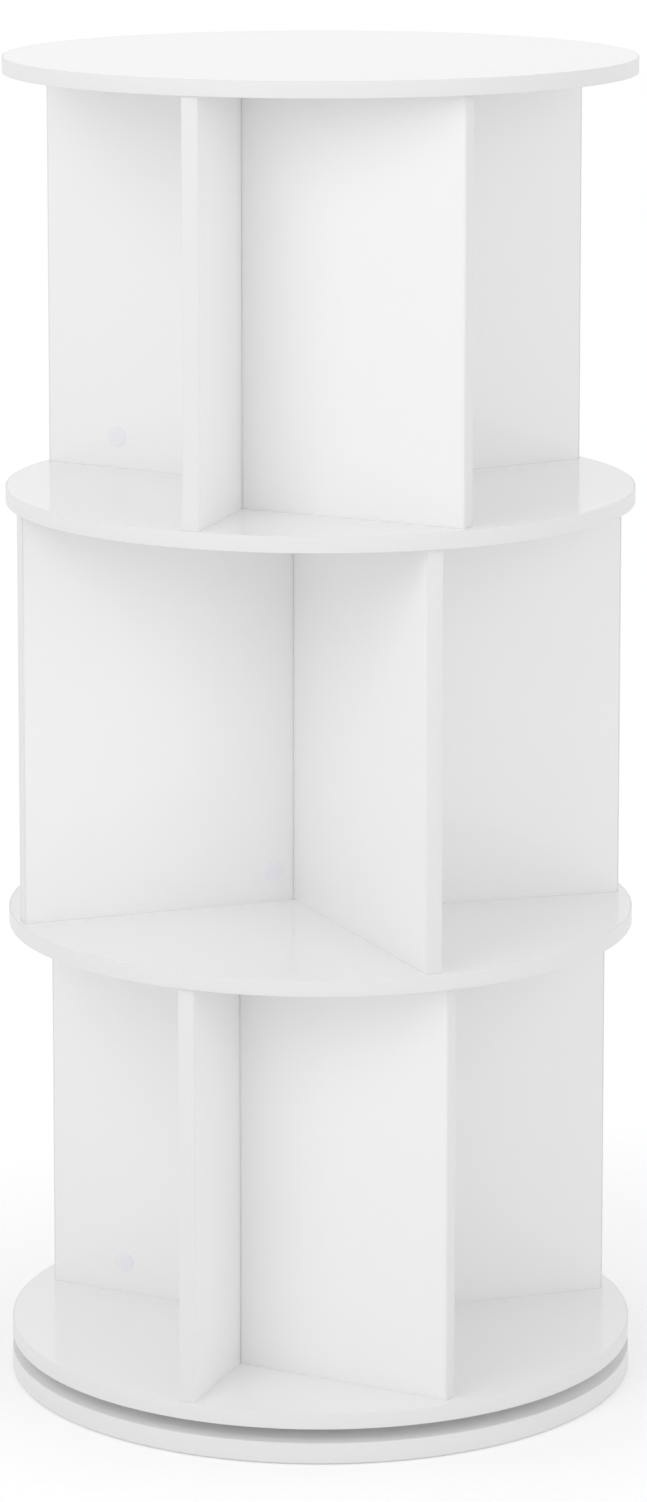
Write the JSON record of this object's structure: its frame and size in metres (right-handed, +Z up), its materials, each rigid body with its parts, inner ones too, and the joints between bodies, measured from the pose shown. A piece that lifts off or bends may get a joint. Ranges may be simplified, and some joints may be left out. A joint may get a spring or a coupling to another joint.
{
  "type": "revolving bookcase",
  "caption": "Floor-standing round bookcase: upright panels between circular shelves form open compartments, and the whole stack turns on a ball bearing over a round base.",
  "frame": {"origin": "on the floor, on the axis that the shelves turn about", "axes": "+Z up along the turning axis, -Y towards the side that the picture shows"},
  "size_m": [0.4699, 0.47, 0.9985],
  "materials": {
    "white_board": "satin white melamine facing on chipboard",
    "white_edge_strip": "satin white edge strip",
    "pale_cap": "satin, slightly bluer than the board",
    "zinc_cam": "die cast zinc",
    "steel_bolt": "bright zinc plate",
    "beech_dowel": "bare fluted beech",
    "steel_plate": "zinc plated pressed steel",
    "steel_screw": "bright zinc plate",
    "steel_ball": "polished",
    "nylon_cage": "natural nylon",
    "grey_pad": "matt"
  },
  "bodies": {
    "base": {"base_disc": "white_board", "base_disc_edge_strip": "white_edge_strip", "base_pads": "grey_pad", "bearing_lower_plate": "steel_plate", "bearing_lower_screws": "steel_screw", "bearing_rivet": "steel_plate"},
    "bearing_cage_ring": {"bearing_cage": "nylon_cage", "bearing_balls": "steel_ball"},
    "carousel": {"bottom_shelf": "white_board", "bottom_shelf_edge_strip": "white_edge_strip", "lower_shelf": "white_board", "lower_shelf_edge_strip": "white_edge_strip", "upper_shelf": "white_board", "upper_shelf_edge_strip": "white_edge_strip", "top_disc": "white_board", "top_disc_edge_strip": "white_edge_strip", "top_left_panel": "white_board", "top_front_panel": "white_board", "top_cross_panel": "white_board", "top_right_panel": "white_board", "middle_left_panel": "white_board", "middle_front_panel": "white_board", "middle_right_panel": "white_board", "middle_back_panel": "white_board", "bottom_left_panel": "white_board", "bottom_front_panel": "white_board", "bottom_cross_panel": "white_board", "bottom_right_panel": "white_board", "bottom_panel_edge_strips": "white_edge_strip", "bottom_cam_discs": "zinc_cam", "bottom_cam_bolts": "steel_bolt", "bottom_cam_caps": "pale_cap", "bottom_foot_dowels": "beech_dowel", "bottom_head_dowels": "beech_dowel", "middle_panel_edge_strips": "white_edge_strip", "middle_cam_discs": "zinc_cam", "middle_cam_bolts": "steel_bolt", "middle_cam_caps": "pale_cap", "middle_foot_dowels": "beech_dowel", "middle_head_dowels": "beech_dowel", "top_panel_edge_strips": "white_edge_strip", "top_cam_discs": "zinc_cam", "top_cam_bolts": "steel_bolt", "top_cam_caps": "pale_cap", "top_foot_dowels": "beech_dowel", "top_head_dowels": "beech_dowel", "bearing_upper_plate": "steel_plate", "bearing_upper_screws": "steel_screw"}
  },
  "joints": [
    {"name": "carousel_spin", "type": "hinge", "parent": "base", "child": "carousel", "pos_m": [0, 0, 0.02125], "axis": [0, 0, 1], "continuous": true},
    {"name": "cage_spin", "type": "hinge", "parent": "base", "child": "bearing_cage_ring", "pos_m": [0, 0, 0.02125], "axis": [0, 0, 1], "continuous": true}
  ],
  "couplings": [
    {"joint": "cage_spin", "follows": "carousel_spin", "ratio": 0.5}
  ]
}
